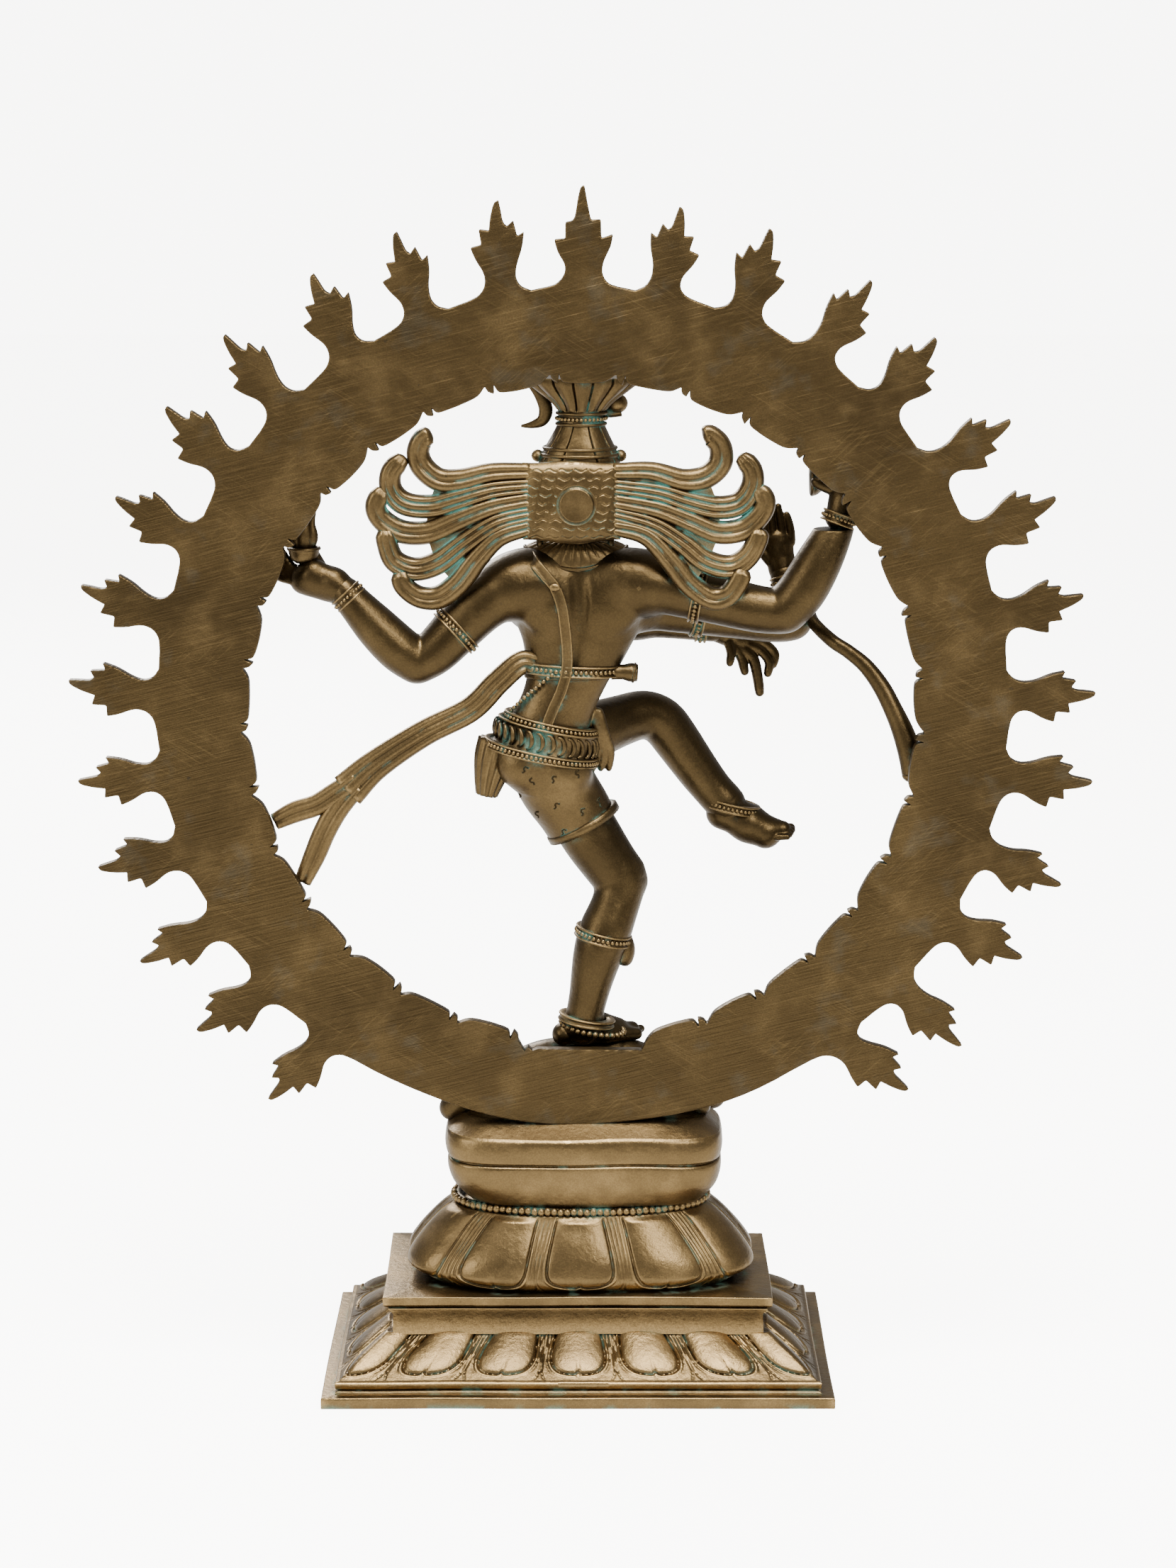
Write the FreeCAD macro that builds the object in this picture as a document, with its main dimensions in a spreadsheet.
import FreeCAD, Part
import math
import os
import Sketcher
from FreeCAD import Placement, Rotation, Vector

# A free-standing brass Nataraja, about half a metre high. Millimetres, +Z up, origin at the middle
# of the pedestal's underside. The dancer faces -Y; its own left side is +X. The plain filed back
# faces +Y.

X_AXIS, Y_AXIS, Z_AXIS = Vector(1, 0, 0), Vector(0, 1, 0), Vector(0, 0, 1)

doc = FreeCAD.newDocument("NatarajaStatue")
sheet = doc.addObject("Spreadsheet::Sheet", "Dimensions")
values = {}
pieces = []


# ---------------------------------------------------------------- the sheet
def dim(alias, value):
    """Puts one plain number on the sheet and returns the expression that reads it."""
    values[alias] = value
    row = len(values)
    sheet.set(f"A{row}", alias)
    sheet.set(f"B{row}", str(value))
    sheet.setAlias(f"B{row}", alias)
    return f"Dimensions.{alias}"


DRIVING = {
    "base_length": 215.0, "base_depth": 125.0, "base_thick": 5.0, "wall": 5.0,
    "tier_length": 204.0, "tier_depth": 116.0, "tier_lip": 5.5, "tier_top": 24.0,
    "neck_length": 157.0, "neck_depth": 74.0, "neck_top": 35.5,
    "slab_length": 164.5, "slab_depth": 80.5, "slab_top": 41.0,
    "bead_radius": 1.8,
    "ring_x": -2.0, "ring_z": 286.0, "ring_outer": 176.0, "ring_inner": 139.5,
    "ring_back": 20.0, "ring_thick": 5.0, "rim_wide": 3.0, "rim_proud": 1.6,
    "flame_count": 27.0, "flame_pitch": 10.95, "flame_length": 35.0, "top_flame_length": 39.0,
    "plate_length": 39.0, "plate_height": 32.0, "plate_thick": 6.0, "boss_radius": 7.5, "boss_proud": 2.0,
    "pin_radius": 3.5, "pin_length": 60.0, "pin_spacing": 60.0,
}
for word, number in DRIVING.items():
    dim(word, number)
RING_CENTRE = Vector(values["ring_x"], 0, values["ring_z"])
RING_FRONT = values["ring_back"] - values["ring_thick"]


# ---------------------------------------------------------------- helpers
def keep(obj, label):
    """Marks a finished piece of the statue, under the name of its file."""
    obj.Label = label
    pieces.append(obj)
    return obj


def ellipse(name, centre, normal, across, depth):
    """One closed section of a loft: across in the XZ plane, depth along Y, and across >= depth."""
    normal = normal.normalize()
    deep = (Y_AXIS - normal * Y_AXIS.dot(normal)).normalize()
    wide = deep.cross(normal)
    ring = doc.addObject("Part::Ellipse", name)
    ring.setExpression("MajorRadius", dim(f"{name}_across", across))
    ring.setExpression("MinorRadius", dim(f"{name}_depth", depth))
    ring.Placement = Placement(centre, Rotation(wide, normal.cross(wide), normal, "ZXY"))
    return ring


def loft(name, sections, ends=None):
    """A closed solid through (x, y, z, across[, depth]) sections; ends are the end planes' directions."""
    centres = [Vector(*s[:3]) for s in sections]
    last = len(centres) - 1
    rings = []
    for i, s in enumerate(sections):
        along = centres[min(i + 1, last)] - centres[max(i - 1, 0)]
        if ends and i in (0, last):
            along = Vector(*ends[0 if i == 0 else 1])
        rings.append(ellipse(f"{name}_{i}", centres[i], along, s[3], s[-1]))
    solid = doc.addObject("Part::Loft", name)
    solid.Sections = rings
    solid.Solid = True
    return solid


def ellipsoid(name, centre, half_x, half_y, half_z):
    egg = doc.addObject("Part::Ellipsoid", name)
    egg.setExpression("Radius2", dim(f"{name}_half_x", half_x))
    egg.setExpression("Radius3", dim(f"{name}_half_y", half_y))
    egg.setExpression("Radius1", dim(f"{name}_half_z", half_z))
    egg.Placement = Placement(Vector(*centre), Rotation())
    return egg


def cylinder(name, start, end, radius):
    """A round bar from start to end; radius is a number or an expression."""
    start, end = Vector(*start), Vector(*end)
    bar = doc.addObject("Part::Cylinder", name)
    bar.setExpression("Radius", radius if isinstance(radius, str) else dim(f"{name}_radius", radius))
    bar.setExpression("Height", dim(f"{name}_height", round((end - start).Length, 3)))
    bar.Placement = Placement(start, Rotation(Z_AXIS, end - start))
    return bar


def torus(name, centre, axis, radius, wire):
    hoop = doc.addObject("Part::Torus", name)
    for field, size in (("Radius1", radius), ("Radius2", wire)):
        hoop.setExpression(field, size if isinstance(size, str) else dim(f"{name}_{field}", size))
    hoop.Placement = Placement(Vector(*centre), Rotation(Z_AXIS, Vector(*axis)))
    return hoop


def join(name, *shapes):
    solid = doc.addObject("Part::MultiFuse", name)
    solid.Shapes = list(shapes)
    return solid


def group(name, *shapes):
    """Separate solids that share one node."""
    together = doc.addObject("Part::Compound", name)
    together.Links = list(shapes)
    return together


def trim(name, base, *tools):
    """base with each tool's space cut out of it, so that the two meet and don't overlap."""
    for number, tool in enumerate(tools):
        cut = doc.addObject("Part::Cut", f"{name}_trim{number}")
        cut.Base = base
        cut.Tool = tool
        base = cut
    return base


def plane(body, role):
    return next(feature for feature in body.Origin.OriginFeatures if feature.Role == role)


def rectangle(body, name, length, depth, level):
    """A rectangle centred on the Z axis at a level; the three sizes are expressions."""
    sketch = body.newObject("Sketcher::SketchObject", name)
    sketch.AttachmentSupport = [(plane(body, "XY_Plane"), "")]
    sketch.MapMode = "FlatFace"
    sketch.setExpression(".AttachmentOffset.Base.z", level)
    corners = [Vector(-9, -5, 0), Vector(9, -5, 0), Vector(9, 5, 0), Vector(-9, 5, 0)]
    for i, corner in enumerate(corners):
        sketch.addGeometry(Part.LineSegment(corner, corners[(i + 1) % 4]), False)
    for i in range(4):
        sketch.addConstraint(Sketcher.Constraint("Coincident", i, 2, (i + 1) % 4, 1))
        sketch.addConstraint(Sketcher.Constraint("Horizontal" if i % 2 == 0 else "Vertical", i))
    sketch.addConstraint(Sketcher.Constraint("Symmetric", 0, 1, 1, 2, -1, 1))
    wide = sketch.addConstraint(Sketcher.Constraint("DistanceX", 0, 1, 0, 2, 18.0))
    deep = sketch.addConstraint(Sketcher.Constraint("DistanceY", 1, 1, 1, 2, 10.0))
    sketch.setExpression(f"Constraints[{wide}]", length)
    sketch.setExpression(f"Constraints[{deep}]", depth)
    return sketch


def pad(body, sketch, length):
    feature = body.newObject("PartDesign::Pad", f"{sketch.Name}_pad")
    feature.Profile = sketch
    feature.setExpression("Length", length)
    return feature


def through(body, sketch):
    """Cuts a sketch's outline upward through the whole body."""
    feature = body.newObject("PartDesign::Pocket", f"{sketch.Name}_cut")
    feature.Profile = sketch
    feature.Type = "ThroughAll"
    feature.Reversed = True
    return feature


S = "Dimensions."


# ---------------------------------------------------------------- pedestal
def base_plate():
    """The thin plate the pedestal stands on, open in the middle like the castings above it."""
    body = doc.addObject("PartDesign::Body", "BasePlate")
    pad(body, rectangle(body, "base_outline", S + "base_length", S + "base_depth", "0"),
        S + "base_thick")
    opening = rectangle(body, "base_opening", S + "neck_length + " + S + "wall * 2",
                        S + "neck_depth + " + S + "wall * 2", "0")
    through(body, opening)
    return keep(body, "base_plate")


def lower_tier():
    """The sloping petalled tier: a cast shell with an upright lip and an open underside."""
    body = doc.addObject("PartDesign::Body", "LowerTier")
    lip = rectangle(body, "tier_lip_outline", S + "tier_length", S + "tier_depth", S + "base_thick")
    pad(body, lip, S + "tier_lip")
    spring = S + "base_thick + " + S + "tier_lip"
    slope = body.newObject("PartDesign::AdditiveLoft", "tier_slope")
    slope.Profile = rectangle(body, "tier_foot", S + "tier_length - 3", S + "tier_depth - 3", spring)
    slope.Sections = [rectangle(body, "tier_shoulder", S + "neck_length + 1", S + "neck_depth + 1",
                                S + "tier_top")]
    inside = body.newObject("PartDesign::SubtractiveLoft", "tier_inside")
    inside.Profile = rectangle(body, "tier_inside_foot", S + "tier_length - 6 * " + S + "wall",
                               S + "tier_depth - 6 * " + S + "wall", S + "base_thick")
    inside.Sections = [rectangle(body, "tier_inside_top", S + "neck_length - 3 * " + S + "wall",
                                 S + "neck_depth - 3 * " + S + "wall", S + "tier_top")]
    return keep(body, "lower_lotus_tier")


def plinth_neck():
    body = doc.addObject("PartDesign::Body", "PlinthNeck")
    outline = rectangle(body, "neck_outline", S + "neck_length", S + "neck_depth", S + "tier_top")
    pad(body, outline, S + "neck_top - " + S + "tier_top")
    hole = rectangle(body, "neck_opening", S + "neck_length - 2 * " + S + "wall",
                     S + "neck_depth - 2 * " + S + "wall", S + "tier_top")
    through(body, hole)
    return keep(body, "plinth_neck")


def pin_places():
    half = values["pin_spacing"] / 2
    return [Vector(-half, 0, 0), Vector(half, 0, 0)]


def fixing_pins():
    """Two round tenons that key the lotus and the dwarf to the upper slab."""
    foot = values["neck_top"] - 1
    bars = []
    for i, place in enumerate(pin_places()):
        bar = doc.addObject("Part::Cylinder", f"pin{i}")
        bar.setExpression("Radius", S + "pin_radius")
        bar.setExpression("Height", S + "pin_length")
        bar.Placement = Placement(place + Z_AXIS * foot, Rotation())
        bars.append(bar)
    return keep(group("Pins", *bars), "fixing_pins")


def upper_slab(pins):
    body = doc.addObject("PartDesign::Body", "UpperSlab")
    pad(body, rectangle(body, "slab_outline", S + "slab_length", S + "slab_depth", S + "neck_top"),
        S + "slab_top - " + S + "neck_top")
    return keep(trim("UpperSlabCut", body, pins), "upper_slab")


def lotus_cushion(pins):
    """The oval cushion of down-turned petals, widest just above its foot."""
    foot = values["slab_top"]
    levels = ((foot, 67, 35), (foot + 5, 75, 38), (foot + 15, 68, 34), (foot + 25, 59, 29),
              (foot + 31, 55, 26))
    cushion = loft("Cushion", [(-1, 0, z, wide, deep) for z, wide, deep in levels],
                   ends=((0, 0, 1), (0, 0, 1)))
    return keep(trim("CushionCut", cushion, pins), "lotus_cushion")


def lotus_bead_string():
    """The string of round beads between the cushion and the dwarf's rock, as one beaded wire."""
    wire_z = values["slab_top"] + 31 + values["bead_radius"]
    outer = loft("BeadOuter", [(-1, 0, wire_z + dz, 57, 28) for dz in (-1.8, 1.8)],
                 ends=((0, 0, 1), (0, 0, 1)))
    inner = loft("BeadInner", [(-1, 0, wire_z + dz, 52, 23) for dz in (-3, 3)],
                 ends=((0, 0, 1), (0, 0, 1)))
    return keep(trim("BeadString", outer, inner), "lotus_bead_string")


# ---------------------------------------------------------------- the arch of flames
def flame_band():
    """The flat hoop, round a circle whose lowest part stands in the dwarf's rock."""
    body = doc.addObject("PartDesign::Body", "FlameBand")
    sketch = body.newObject("Sketcher::SketchObject", "band_outline")
    sketch.AttachmentSupport = [(plane(body, "XZ_Plane"), "")]
    sketch.MapMode = "FlatFace"
    for i, size in enumerate(("ring_outer", "ring_inner")):
        centre = Vector(values["ring_x"], values["ring_z"], 0)
        sketch.addGeometry(Part.Circle(centre, Z_AXIS, values[size]), False)
        sketch.addConstraint(Sketcher.Constraint("Radius", i, values[size]))
        sketch.setExpression(f"Constraints[{i}]", S + size)
    hoop = pad(body, sketch, S + "ring_thick")
    hoop.Reversed = True
    body.setExpression(".Placement.Base.y", S + "ring_back - " + S + "ring_thick")
    return keep(body, "flame_band")


# Half of a flame's outline: (side, height) as shares of the flame's length.
FLAME_HALF = ((0.20, -0.003), (0.145, 0.13), (0.20, 0.30), (0.285, 0.47), (0.18, 0.52), (0.215, 0.68),
              (0.10, 0.72), (0.055, 0.86), (0.0, 1.0))


def flame(name, angle, lean, length):
    """One upright tongue with two barbs each side. angle is from the top, positive toward +X."""
    half = FLAME_HALF[:-1]
    outline = [Vector(x * length, 0, z * length) for x, z in FLAME_HALF]
    outline += [Vector(-x * length, 0, z * length) for x, z in reversed(half)]
    wire = doc.addObject("Part::Polygon", f"{name}_outline")
    wire.Nodes = outline
    wire.Close = True
    tongue = doc.addObject("Part::Extrusion", name)
    tongue.Base = wire
    tongue.DirMode = "Custom"
    tongue.Dir = Y_AXIS
    tongue.setExpression("LengthFwd", S + "ring_thick")
    tongue.Solid = True
    turn = math.radians(angle)
    outward = Vector(math.sin(turn), 0, math.cos(turn))
    foot = RING_CENTRE + outward * values["ring_outer"] + Y_AXIS * RING_FRONT
    tongue.Placement = Placement(foot, Rotation(Y_AXIS, angle - lean))
    return tongue


def flame_tongues(band):
    """27 tongues: the tallest at the top, and 13 a side that lean a little upward."""
    tongues = [flame("flame0", 0, 0, values["top_flame_length"])]
    for side in (1, -1):
        for i in range(1, int(values["flame_count"]) // 2 + 1):
            lean = side * (8 if side > 0 else 2)
            angle = side * i * values["flame_pitch"]
            tongues.append(flame(f"flame{side + 1}_{i}", angle, lean, values["flame_length"]))
    return keep(trim("Tongues", group("TongueGroup", *tongues), band), "flame_tongues")


def ring_rims():
    """The two raised rims on the front of the hoop, square in section."""
    rims = []
    for size, inset in (("ring_outer", -3), ("ring_inner", 8)):
        middle = RING_CENTRE + Y_AXIS * RING_FRONT
        near = tuple(middle - Y_AXIS * values["rim_proud"])
        far = tuple(middle)
        radius = values[size] + inset
        half = values["rim_wide"] / 2
        rims.append(trim(f"{size}_rim", cylinder(f"{size}_rim_out", near, far, radius + half),
                         cylinder(f"{size}_rim_in", near, far, radius - half)))
    return rims


# ---------------------------------------------------------------- the dwarf and his rock
def dwarf_rock(pins, *cut_by):
    """The rock that carries the dwarf, the foot of the arch and the dancer."""
    top = 75.6
    rock = loft("Rock", [(-2.5, 2, top, 51, 24), (-2.5, 2, top + 10, 57, 26), (-2.5, 2, 97, 59, 26.5),
                         (-2.5, 1, 106, 56, 26), (-2.5, -1, 113, 46, 22)], ends=((0, 0, 1), (0, 0, 1)))
    return keep(trim("RockCut", rock, pins, *cut_by), "dwarf_rock")


def dwarf_pieces(rock):
    """Apasmara, the dwarf of forgetfulness, prone across the rock with his head toward -X."""
    body = loft("DwarfBody", [(26, -7, 122, 11, 11), (14, -7, 124, 14, 14), (-2, -7, 125, 13.5, 13.5),
                              (-18, -8, 124, 15, 14.5), (-30, -9, 123, 11, 11)])
    body = keep(trim("DwarfBodyCut", body, rock), "dwarf_body")
    head = keep(ellipsoid("DwarfHead", (-45, -14, 124), 12, 12.5, 12), "dwarf_head")
    arm_near = loft("DwarfArmNear", [(-26, -16, 120, 5.5), (-38, -27, 112, 5), (-52, -29, 106, 4.2)])
    arm_far = loft("DwarfArmFar", [(-26, 3, 120, 5.5), (-42, 6, 118, 5), (-56, 2, 110, 4)])
    arms = keep(trim("DwarfArmsCut", group("DwarfArms", arm_near, arm_far), rock, body), "dwarf_arms")
    leg_near = loft("DwarfLegNear", [(22, -16, 120, 7.5), (40, -22, 124, 7), (52, -18, 112, 5.5),
                                     (50, -16, 104, 5)])
    leg_far = loft("DwarfLegFar", [(24, 2, 120, 7.5), (40, 5, 122, 7), (52, 3, 112, 5)])
    legs = keep(trim("DwarfLegsCut", group("DwarfLegs", leg_near, leg_far), rock, body), "dwarf_legs")
    return body, head, arms, legs


# ---------------------------------------------------------------- the dancer's trunk and head
def torso():
    trunk = loft("Torso", [(15, -4, 259, 18, 13), (14.5, -4, 268, 22, 14.5), (13, -3, 279, 19.5, 12.5),
                           (7, -2, 293, 17.8, 11), (2, -2, 304.5, 20, 11), (-0.5, -2, 316, 24, 12.5),
                           (-1, -3, 328, 28, 14), (-1, -3, 338, 29.5, 13), (0, -2, 345, 19, 10)],
                 ends=((0, 0, 1), (0, 0, 1)))
    return keep(trunk, "torso")


def neck_and_head(trunk):
    neck = loft("Neck", [(0.5, -2, 343, 9, 9), (0.8, -2, 351, 7.6, 7.6), (1, -3, 358, 8, 8)])
    skull = ellipsoid("Skull", (1, -3, 371.5), 13.6, 15.5, 18.5)
    neck = keep(trim("NeckCut", neck, trunk, skull), "neck")
    return neck, keep(skull, "head")


def crown(skull, plate):
    """The tall flared crown of matted hair, bound with two bands and topped like a leaf cup."""
    tower = loft("Tower", [(0, -2, 384, 16, 14), (-0.6, 0, 391, 15.5, 13.5), (-1, 1, 398, 12, 11),
                           (-1.3, 2, 406.5, 8.7, 8), (-1.8, 2, 415, 13.5, 9.5),
                           (-2.2, 2, 422, 22.3, 10.5), (-2.2, 2, 424.2, 22.3, 10.5)],
                 ends=((0, 0, 1), (0, 0, 1)))
    tower = keep(trim("TowerCut", tower, skull, plate), "crown_tower")
    moon = loft("Moon", [(18, -2, 421, 1.4), (15.2, -3, 415.5, 2.3), (13.6, -3, 410, 2.6),
                         (15, -3, 405.5, 2.2), (18.5, -3, 403.8, 1.4), (22, -3, 403.4, 0.8)])
    bump = loft("CrownSkull", [(-9, -2, 411, 3), (-15, -3, 413, 4.2), (-19.5, -3, 413, 3)])
    both = group("CrownEmblems", moon, bump)
    emblems = keep(trim("EmblemsCut", both, tower), "crown_emblems")
    return tower, emblems


def hair_plate():
    """The flat plate at the back of the head that the flying locks spring from, and its boss."""
    body = doc.addObject("PartDesign::Body", "HairPlate")
    sketch = rectangle(body, "plate_outline", S + "plate_length", S + "plate_height", "0")
    pad(body, sketch, S + "plate_thick")
    body.Placement = Placement(Vector(2.5, 18.5, 374.7), Rotation(X_AXIS, 90))
    plate = keep(body, "hair_plate")
    boss = cylinder("HairBoss", (0.6, 18.5, 373.4), (0.6, 18.5 + values["boss_proud"], 373.4),
                    S + "boss_radius")
    return plate, keep(boss, "hair_boss")


# Each lock of flying hair, from the plate out to its curled end: (x, z) and its half width.
LEFT_LOCKS = (
    ((22, 386.5, 3.1), (43, 387, 3.4), (57, 388.5, 3.4), (67, 394, 3.2), (67, 400, 3.0),
     (61, 402, 2.4)),
    ((22, 380.1, 3.1), (46, 378.5, 3.4), (62, 377, 3.4), (73, 380, 3.2), (76, 387, 3.0),
     (72, 393, 2.0)),
    ((22, 373.7, 3.1), (48, 368, 3.4), (66, 365, 3.4), (79, 366, 3.2), (82, 373, 3.0), (79, 380, 2.0)),
    ((22, 367.3, 3.1), (46, 356.5, 3.4), (61, 351, 3.4), (73, 350.5, 3.2), (79, 356, 3.0),
     (81, 362, 2.0)),
    ((22, 361.9, 3.1), (41, 350, 3.4), (53, 339, 3.4), (65, 334.5, 3.2), (75, 338, 3.0),
     (77, 346, 2.0)),
)
RIGHT_LOCKS = (
    ((-17, 386.5, 3.1), (-35, 386, 3.4), (-50, 383.5, 3.4), (-60, 388, 3.2), (-60, 396, 3.0),
     (-54, 403, 2.4)),
    ((-17, 380.1, 3.1), (-39, 377, 3.4), (-55, 373.5, 3.4), (-67, 377, 3.2), (-69, 386, 3.0),
     (-65, 394, 2.0)),
    ((-17, 373.7, 3.1), (-39, 368, 3.4), (-56, 362.5, 3.4), (-69, 363, 3.2), (-74, 370, 3.0),
     (-75, 379, 2.0)),
    ((-17, 367.3, 3.1), (-36, 359, 3.4), (-52, 351.5, 3.4), (-65, 350, 3.2), (-71, 355, 3.0),
     (-74, 361, 2.0)),
    ((-17, 361.9, 3.1), (-32, 352, 3.4), (-45, 341.5, 3.4), (-57, 335, 3.2), (-66, 339, 3.0),
     (-69, 347, 2.0)),
)


def hair_fan(name, locks, side):
    """Five flat locks that start square on the plate's edge; side is +1 toward +X."""
    solids = []
    for i, lock in enumerate(locks):
        sections = [(x, 15, z, half, min(half, 3.0)) for x, z, half in lock]
        (x0, z0, _), (x1, z1, _) = lock[-2:]
        solids.append(loft(f"{name}{i}", sections, ends=((side, 0, 0), (x1 - x0, 0, z1 - z0))))
    return group(f"{name}Fan", *solids)


# ---------------------------------------------------------------- arms
def arms(trunk):
    """Two pairs: the rear pair carries drum and flame, the front pair blesses and points."""
    left_rear = loft("LeftRearArm", [(20, 0, 336, 10), (34, 3, 329, 9.8), (50, 6, 318, 9.2),
                                     (63, 8, 307, 8.4), (71, 9, 306, 8.2), (80, 10, 316, 7.6),
                                     (90, 9, 328, 6.0), (97, 8, 336, 5.2)])
    right_rear = loft("RightRearArm", [(-20, 0, 335, 10), (-40, 3, 333, 10), (-62, 5, 331, 9.6),
                                       (-82, 6, 330, 9.2), (-91, 6, 336, 9.2), (-98, 6, 348, 8.6),
                                       (-104, 5, 360, 7), (-108, 4, 369, 5.6)])
    left_front = loft("LeftFrontArm", [(-55, -42, 313, 5), (-32, -41, 316, 6.6), (-8, -37, 318.5, 7.6),
                                       (10, -29, 321.5, 8.6), (19, -19, 326.5, 8.8)])
    right_front = loft("RightFrontArm", [(-20, -8, 328, 9), (-42, -13, 325, 8.8), (-70, -17, 321, 8.2),
                                         (-88, -20, 321, 7.8), (-92, -23, 328, 7), (-88, -26, 337, 5.2)])
    keep(left_front, "left_front_arm")
    for arm, label in ((left_rear, "left_rear_arm"), (right_rear, "right_rear_arm"),
                       (right_front, "right_front_arm")):
        yield keep(trim(f"{arm.Name}Cut", arm, trunk), label)


def hands():
    """Rear pair: left under the flame, right round the drum. Front pair: right raised, left hanging."""
    left_rear = loft("LeftRearHand", [(97, 8, 336.8, 5.2), (104, 7, 341, 7.5, 4.5),
                                      (112, 5, 342, 7.5, 4.5), (121, 3, 345, 4, 3)])
    right_rear = loft("RightRearHand", [(-108, 4, 369, 5.6), (-110, 2, 376, 6.5, 4.2),
                                        (-110, 0, 383, 6.5, 4), (-108, -2, 391, 4, 3)])
    right_front = loft("RightFrontHand", [(-88, -26, 337, 5.2), (-86, -28, 343, 6.5, 3.6),
                                          (-84, -28, 351, 6.5, 3.2), (-82, -28, 363, 4.2, 2.4)])
    palm = loft("LeftFrontPalm", [(-55, -42, 313, 5), (-62, -43, 311.5, 5, 4),
                                  (-69, -43, 308, 5.6, 3.2)])
    fingers = [palm]
    for i, (x, z) in enumerate(((-71, 296), (-77.5, 286), (-83.5, 297))):
        root = (-67.5 - 1.6 * i, -43, 307 + 0.5 * i)
        middle = ((root[0] + x) / 2 - 1, -42, (root[2] + z) / 2)
        fingers.append(loft(f"LeftFrontFinger{i}", [(*root, 1.9), (*middle, 1.8), (x, -40, z, 1.2)]))
    keep(left_rear, "left_rear_hand")
    keep(right_rear, "right_rear_hand")
    keep(right_front, "right_front_hand")
    return keep(join("LeftFrontHand", *fingers), "left_front_hand")


def hand_emblems():
    """The flame cup on the left palm and the waisted drum in the right hand."""
    cup = loft("FlameCup", [(113, 5, 348, 3.5), (113, 5, 351, 6.5), (113, 5, 354, 6.5)],
               ends=((0, 0, 1), (0, 0, 1)))
    keep(cup, "flame_cup")
    tongue = loft("HandFlame", [(113, 5, 354, 5.5, 4.5), (113, 5, 360, 6, 4.5), (112, 5, 368, 3.6, 3),
                                (112, 5, 376, 0.8)], ends=((0, 0, 1), (0, 0, 1)))
    keep(tongue, "hand_flame")
    drum = loft("Drum", [(-96, -6, 381, 6), (-99, -6, 381, 6), (-104, -6, 381.5, 3), (-109, -6, 382, 6),
                         (-112, -6, 382, 6)], ends=((1, 0, 0), (1, 0, 0)))
    return keep(drum, "hand_drum")


# ---------------------------------------------------------------- legs
def legs(trunk):
    standing = loft("StandingLeg", [(14, -4, 262, 14, 11), (8, -7, 248, 15.2, 13), (-1, -9, 236, 13.6, 12.6),
                                    (-12, -9, 222, 12, 12), (-18, -8, 211, 11.3, 11.3),
                                    (-16, -5, 201, 10.6, 10.6), (-11, -2, 189, 11, 11),
                                    (-7, -1, 172, 9.6, 9.6), (-3, -1, 155, 7.2, 7.2),
                                    (-2.5, -2, 147, 7.2, 7.2)], ends=((0, 0, 1), (0, 0, 1)))
    standing = keep(trim("StandingLegCut", standing, trunk), "standing_leg")
    raised = loft("RaisedLeg", [(8, -12, 272, 13), (-8, -24, 275, 11.5), (-22, -33, 277, 10.4),
                                (-34, -38, 275, 10), (-42, -40, 265, 10), (-50, -40, 253.5, 9.2),
                                (-58, -39.5, 243, 8.2), (-64, -39, 236.5, 7.8)])
    raised = keep(trim("RaisedLegCut", raised, trunk), "raised_leg")
    foot = loft("StandingFoot", [(9, -3, 144, 4.6, 4.6), (3, -4, 146, 7, 6.6), (-6, -8, 145, 6, 6),
                                 (-17, -14, 142.6, 3.9, 3.9), (-27, -20, 141.4, 2.6, 2.6)])
    foot = keep(trim("StandingFootCut", foot, standing), "standing_foot")
    lifted = loft("RaisedFoot", [(-57.5, -40, 232, 4), (-64, -40, 230.5, 6.6), (-73, -39, 228, 7.2),
                                 (-84, -38, 224.5, 5.6), (-94, -36, 224.5, 2.6)])
    lifted = keep(trim("RaisedFootCut", lifted, raised), "raised_foot")
    return standing, raised, foot, lifted


# ---------------------------------------------------------------- dress and ornaments
def band(name, centre, direction, radius, height):
    """A round band about a limb, to be cut by the limb inside it."""
    half = Vector(*direction).normalize() * (height / 2)
    centre = Vector(*centre)
    return cylinder(name, tuple(centre - half), tuple(centre + half), radius)


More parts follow.
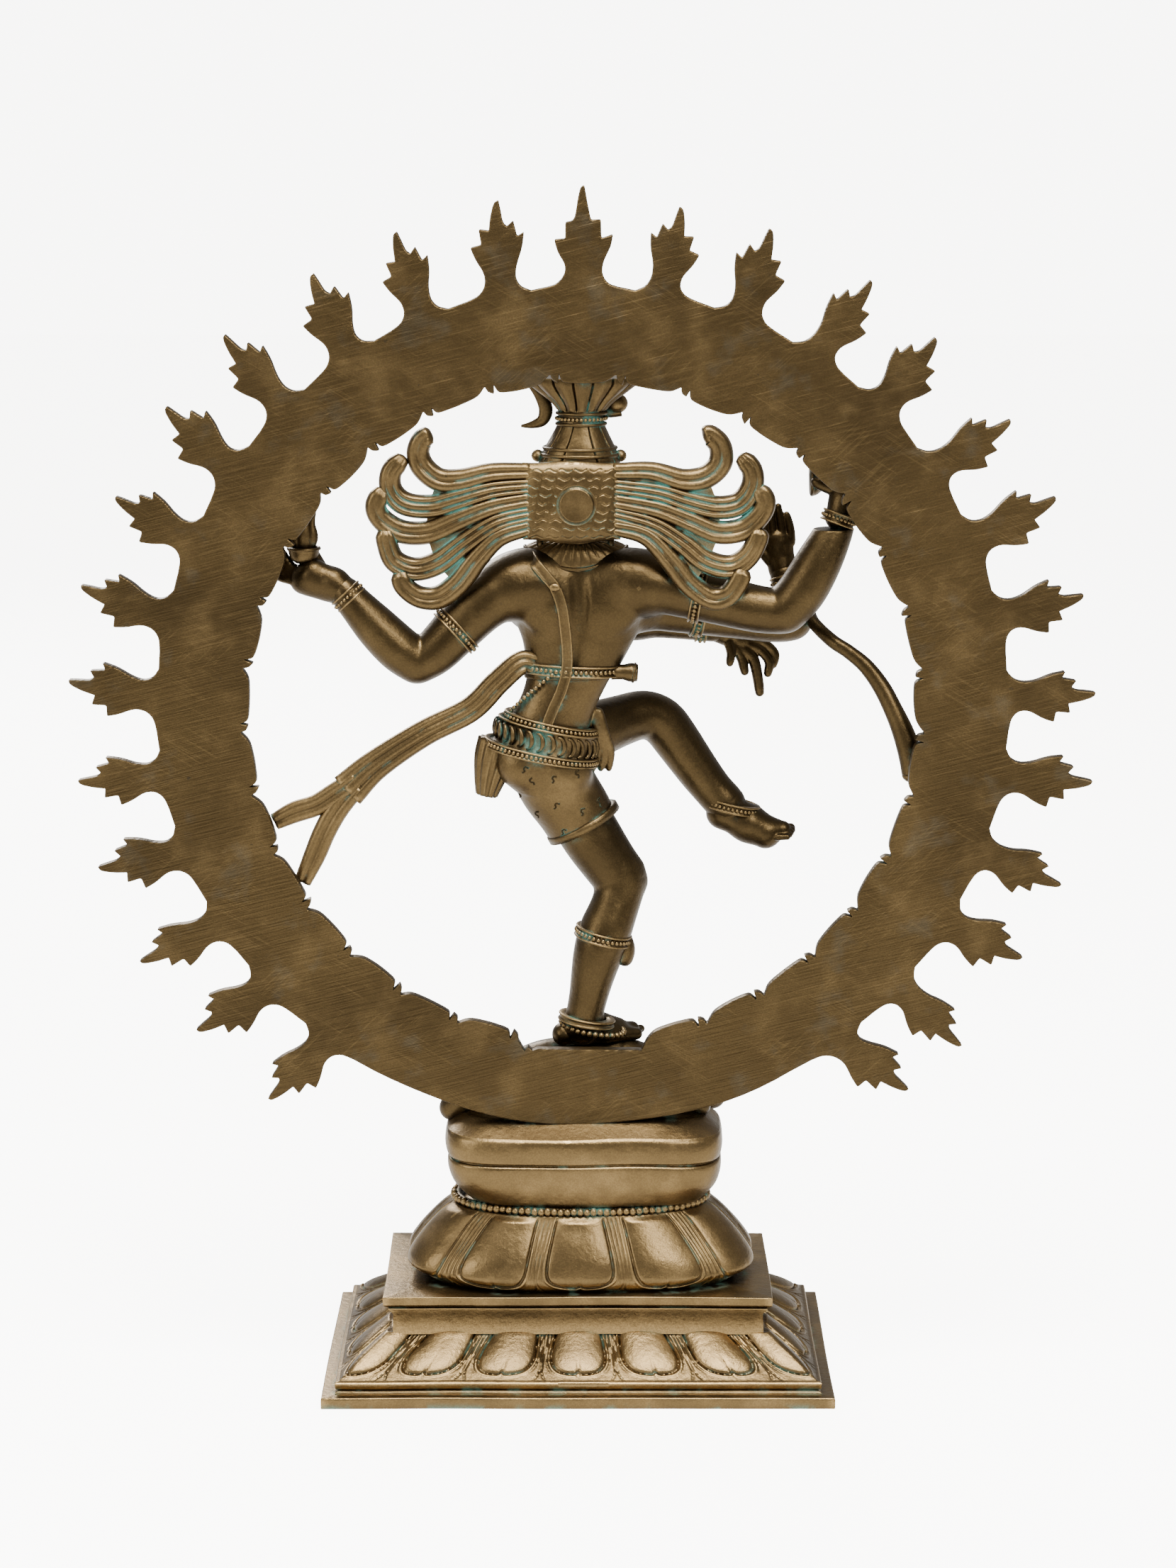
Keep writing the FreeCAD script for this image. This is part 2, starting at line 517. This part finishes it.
def ornaments(trunk, skull, plate, limbs):
    left_rear, right_rear, right_front, standing, raised = limbs
    left_front = pieces_named("left_front_arm")
    collar = loft("Collar", [(0.5, -1, 340, 21, 13), (0.5, -1, 346, 19, 12.5),
                             (0.6, -2, 351.5, 11, 10)],
                  ends=((0, 0, 1), (0, 0, 1)))
    keep(trim("CollarCut", collar, trunk, pieces_named("neck"), left_rear, right_rear), "necklace")
    thread = loft("Thread", [(17.5, 7, 352, 2.2, 1.6), (13, 10.5, 345, 2.4, 1.8),
                             (7.5, 12, 336, 2.6, 1.8),
                             (5, 11.5, 324, 2.6, 1.8), (2.4, 9.8, 309, 2.6, 1.8), (5, 9.6, 297, 2.4, 1.6),
                             (9.5, 10, 288, 2.2, 1.4)])
    keep(trim("ThreadCut", thread, trunk), "sacred_thread")
    waist = loft("WaistBand", [(3.6, -2, 300, 21, 12.5), (2.8, -2, 305, 21.8, 12.8)],
                 ends=((0.12, 0, 1), (0.12, 0, 1)))
    keep(trim("WaistBandCut", waist, trunk), "waist_band")
    keep(trim("KnobCut", cylinder("Knob", (-17, -1, 303), (-25, -1, 300.5), 4), trunk), "waist_knob")
    belt = loft("HipBelt", [(15.5, -3, 268, 23.5, 16), (12.5, -3, 281, 21.5, 14.5)],
                ends=((-0.2, 0, 1), (-0.2, 0, 1)))
    keep(trim("HipBeltCut", belt, trunk, standing, raised), "hip_belt")
    apron = loft("Apron", [(33, -2, 272, 9, 8.5), (33.5, -2, 264, 9.5, 8.5), (35, -2, 256, 7.5, 7.5),
                           (37, -2, 247, 3.5, 3.5)])
    keep(trim("ApronCut", apron, trunk), "hip_cloth")
    hem = band("Hem", (-1.6, -9, 236.2), (0.47, 0.02, 0.88), 15.2, 5)
    keep(trim("HemCut", hem, standing), "thigh_hem")
    calf = band("CalfBand", (-10.5, -2.5, 187), (-0.23, 0, 1), 13, 5.5)
    keep(trim("CalfBandCut", calf, standing), "calf_band")
    keep(loft("CalfBell", [(-19, -4, 186, 1.8), (-19.4, -4, 182, 3.2), (-19.6, -4, 177, 4)],
              ends=((0, 0, 1), (0, 0, 1))), "calf_bell")
    low = band("AnkletLow", (-3.2, -2, 150.5), (-0.17, 0, 1), 10.4, 4.5)
    high = band("AnkletHigh", (-62, -39, 238.5), (-0.5, 0, -0.9), 10, 5)
    feet = pieces_named("standing_foot"), pieces_named("raised_foot")
    keep(group("Anklets", trim("AnkletLowCut", low, standing, feet[0]),
               trim("AnkletHighCut", high, raised, feet[1])), "anklets")
    front_core = band("ArmCore", (14.5, -24, 324), (-0.6, -0.65, -0.35), 9.4, 16)
    bands = (("ArmletLeft", (50, 6.1, 320.3), (0.72, 0.16, -0.66), 11.6, 4.5, left_rear),
             ("ArmletRight", (-50, 3.6, 334.2), (-1, 0.1, -0.22), 12, 4.5, right_rear),
             ("ArmletFrontRight", (-50, -14, 324), (-1, -0.15, -0.14), 10.4, 4.5, right_front),
             ("ArmletFrontLeft", (14.5, -24, 324), (-0.6, -0.65, -0.35), 11.2, 4.5, front_core))
    armlets = [trim(f"{n}Cut", band(n, at, way, r, w), limb) for n, at, way, r, w, limb in bands]
    keep(group("Armlets", *armlets), "armlets")
    wrists = (("BraceletLeft", (94.2, 8.6, 334), (0.66, -0.06, 0.74), 7.4, 5.5, left_rear),
              ("BraceletRight", (-106.5, 4.4, 366), (-0.35, -0.1, 0.9), 8.2, 5, right_rear),
              ("BraceletFrontRight", (-89.6, -24.9, 333.4), (0.4, -0.3, 0.9), 8.8, 4.6,
               band("WristCore", (-89.6, -24.9, 333.4), (0.4, -0.3, 0.9), 7.2, 9)),
              ("BraceletFrontLeft", (-50, -42, 313.8), (-1, 0, -0.12), 7.2, 5, left_front))
    bracelets = [trim(f"{n}Cut", band(n, at, way, r, w), limb) for n, at, way, r, w, limb in wrists]
    keep(group("Bracelets", *bracelets), "bracelets")
    rings = [torus(name, (1 + side, -3, 361), (0, 1, 0), 5.2, 1.4)
             for name, side in (("EarringLeft", 16.4), ("EarringRight", -16.4))]
    keep(trim("EarringsCut", group("Earrings", *rings), skull), "earrings")


def sash_and_snake(trunk, limbs):
    """The sash that flies from the waist, and the snake that hangs over the front right elbow."""
    sash = loft("Sash", [(21, 4, 308, 4.6, 2.2), (32, 6, 300, 5, 2.2), (44.7, 8, 287, 5.2, 2.2),
                         (64, 10, 277, 5.6, 2.2),
                         (84, 12, 264.5, 6.4, 2.2), (98, 14, 252, 8, 2.2)])
    upper = loft("SashUpper", [(94, 14, 256, 7, 2.2), (106, 15, 248, 5.5, 2.2),
                               (116, 15.5, 245, 5, 2.2),
                               (127, 16, 240, 4, 1.8)])
    lower = loft("SashLower", [(95, 14, 254, 7, 2.2), (104, 15, 243, 5, 2.2),
                               (110, 15.5, 231, 4.6, 2.2),
                               (115.5, 16, 215, 3.6, 1.8)])
    left_rear = limbs[0]
    keep(trim("SashCut", join("SashJoined", sash, upper, lower), trunk, left_rear,
              pieces_named("flame_band")),
         "flying_sash")
    snake = loft("Snake", [(-97, -17, 327, 2.4), (-101, -10, 318, 2.8), (-109, -5, 312, 3),
                           (-120, 0, 303.7, 3.4),
                           (-130.5, 5, 288.2, 3.8), (-137, 8.5, 272.7, 4.6), (-139.4, 10, 262, 4.9)])
    keep(snake, "snake")


def pieces_named(label):
    return next(piece for piece in pieces if piece.Label == label)


# ---------------------------------------------------------------- assembly
base_plate()
lower_tier()
plinth_neck()
pins = fixing_pins()
upper_slab(pins)
lotus_cushion(pins)
lotus_bead_string()
hoop = flame_band()
flame_tongues(hoop)
keep(trim("RimsCut", group("Rims", *ring_rims()), hoop), "ring_rims")
rock = dwarf_rock(pins, hoop, pieces_named("ring_rims"), pieces_named("flame_tongues"))
dwarf_pieces(rock)
trunk = torso()
neck, skull = neck_and_head(trunk)
plate, boss = hair_plate()
crown(skull, plate)
keep(hair_fan("LeftLock", LEFT_LOCKS, 1), "hair_locks_left")
keep(hair_fan("RightLock", RIGHT_LOCKS, -1), "hair_locks_right")
arm_pieces = list(arms(trunk))
hands()
hand_emblems()
standing, raised, foot, lifted = legs(trunk)
limbs = (*arm_pieces, standing, raised)
ornaments(trunk, skull, plate, limbs)
sash_and_snake(trunk, limbs)

doc.recompute()
failed = [obj.Name for obj in doc.Objects if {"Invalid", "Error"} & set(obj.State)]
assert not failed, f"objects that failed: {failed}"
os.makedirs("parts", exist_ok=True)
for piece in pieces:
    shape = piece.Shape
    sound = not shape.isNull() and shape.isValid() and shape.Solids
    assert sound, f"{piece.Label} is not a valid solid"
for piece in pieces:
    piece.Shape.exportStep(f"parts/{piece.Label}.step")
    box = piece.Shape.BoundBox
    print(f"{piece.Label:20s} {len(piece.Shape.Solids):3d} solids {piece.Shape.Volume / 1000:8.1f} cm3",
          f"x {box.XMin:7.1f} {box.XMax:7.1f} y {box.YMin:6.1f} {box.YMax:6.1f}",
          f"z {box.ZMin:6.1f} {box.ZMax:6.1f}")
